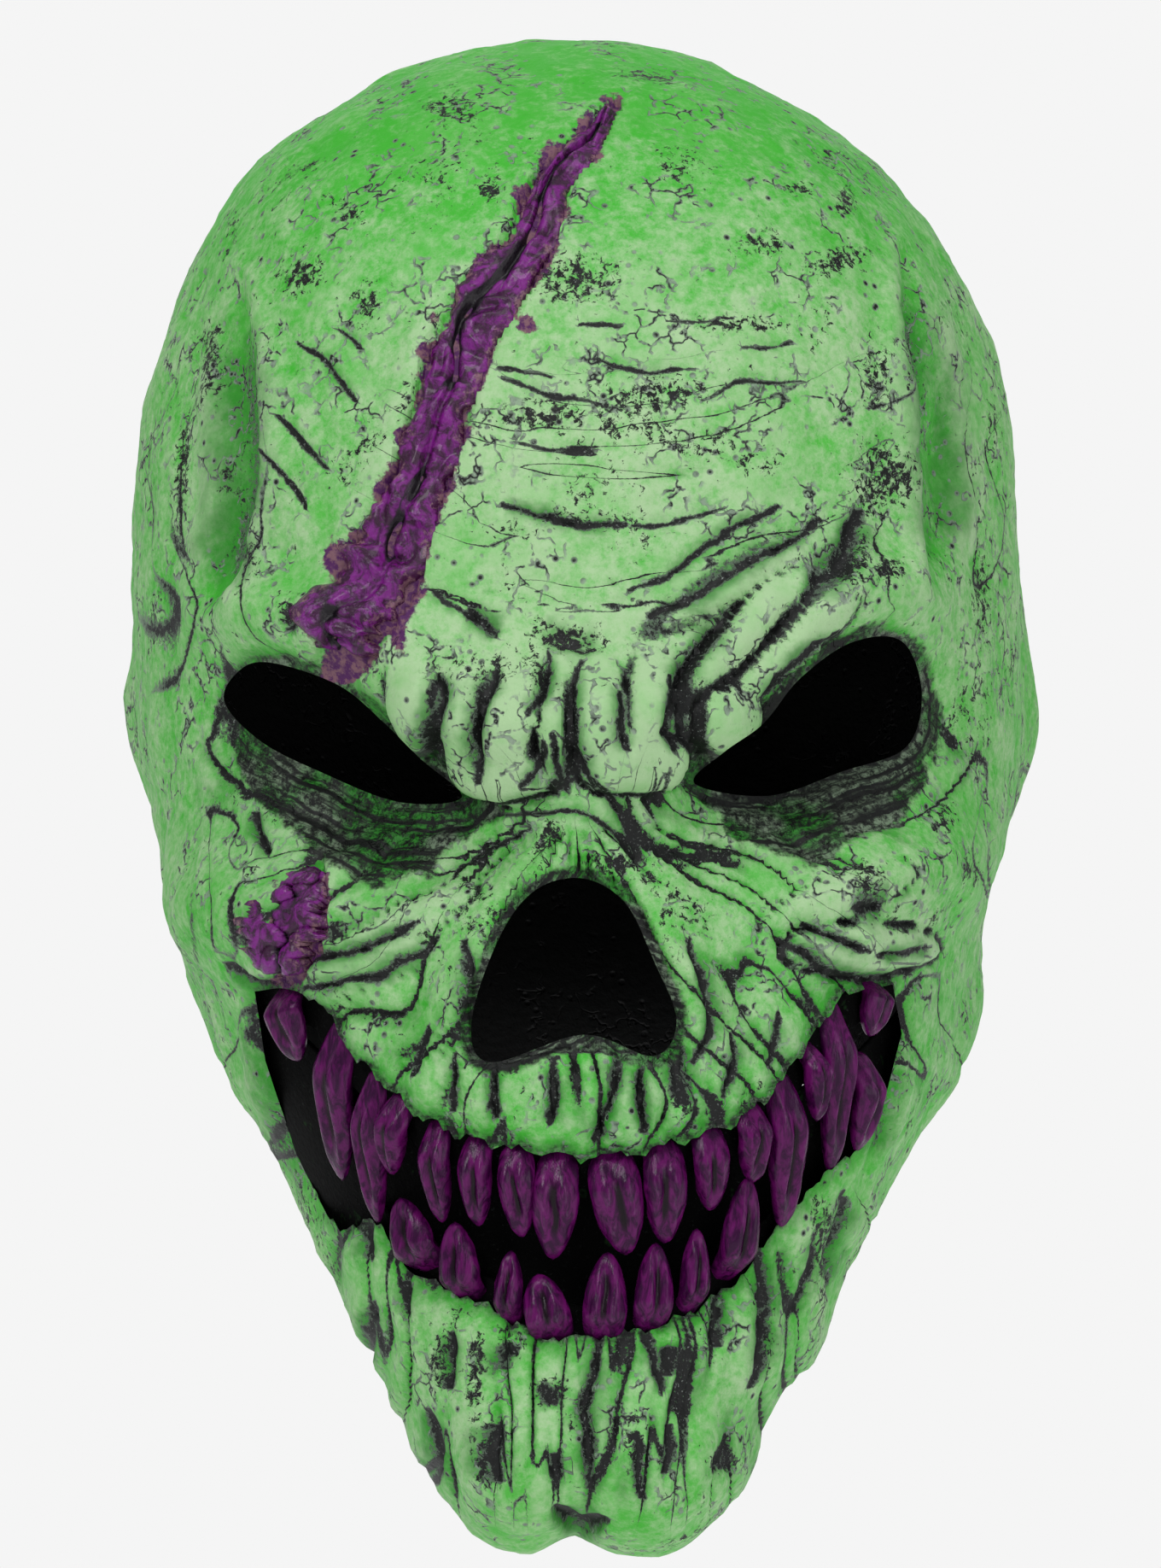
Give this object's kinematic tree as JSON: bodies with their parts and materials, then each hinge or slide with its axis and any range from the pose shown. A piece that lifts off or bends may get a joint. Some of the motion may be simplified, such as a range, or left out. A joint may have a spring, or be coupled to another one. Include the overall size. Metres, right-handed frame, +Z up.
{
  "type": "monster mask",
  "caption": "Latex mask worn over the whole head, with a rotten skull-like face, open eyes and nose, a grinning mouth lined in black, and an open neck.",
  "frame": {"origin": "the seat on the wearer's crown: the top of the hollow inside the mask", "axes": "+X to the viewer's right, -Y the way the face looks, +Z up"},
  "size_m": [0.1632, 0.2113, 0.2696],
  "materials": {
    "green_latex": "bright green paint dry-brushed over black latex, which shows in every pit and crease; black inside",
    "black_latex": "matt black latex",
    "purple_tooth": "glossy dark purple with worn paler streaks",
    "purple_gore": "wet-looking dark purple, lumpy"
  },
  "bodies": {
    "root": {"mask_shell": "green_latex", "upper_gum": "black_latex", "lower_gum": "black_latex", "mouth_lining": "black_latex", "forehead_gash": "purple_gore", "cheek_gash": "purple_gore", "upper_tooth_1": "purple_tooth", "upper_tooth_2": "purple_tooth", "upper_tooth_3": "purple_tooth", "upper_tooth_4": "purple_tooth", "upper_tooth_5": "purple_tooth", "upper_tooth_6": "purple_tooth", "upper_tooth_7": "purple_tooth", "upper_tooth_8": "purple_tooth", "upper_tooth_9": "purple_tooth", "upper_tooth_10": "purple_tooth", "upper_tooth_11": "purple_tooth", "upper_tooth_12": "purple_tooth", "upper_tooth_13": "purple_tooth", "upper_tooth_14": "purple_tooth", "upper_tooth_15": "purple_tooth", "upper_tooth_16": "purple_tooth", "upper_tooth_17": "purple_tooth", "lower_tooth_1": "purple_tooth", "lower_tooth_2": "purple_tooth", "lower_tooth_3": "purple_tooth", "lower_tooth_4": "purple_tooth", "lower_tooth_5": "purple_tooth", "lower_tooth_6": "purple_tooth", "lower_tooth_7": "purple_tooth", "lower_tooth_8": "purple_tooth"}
  },
  "joints": []
}
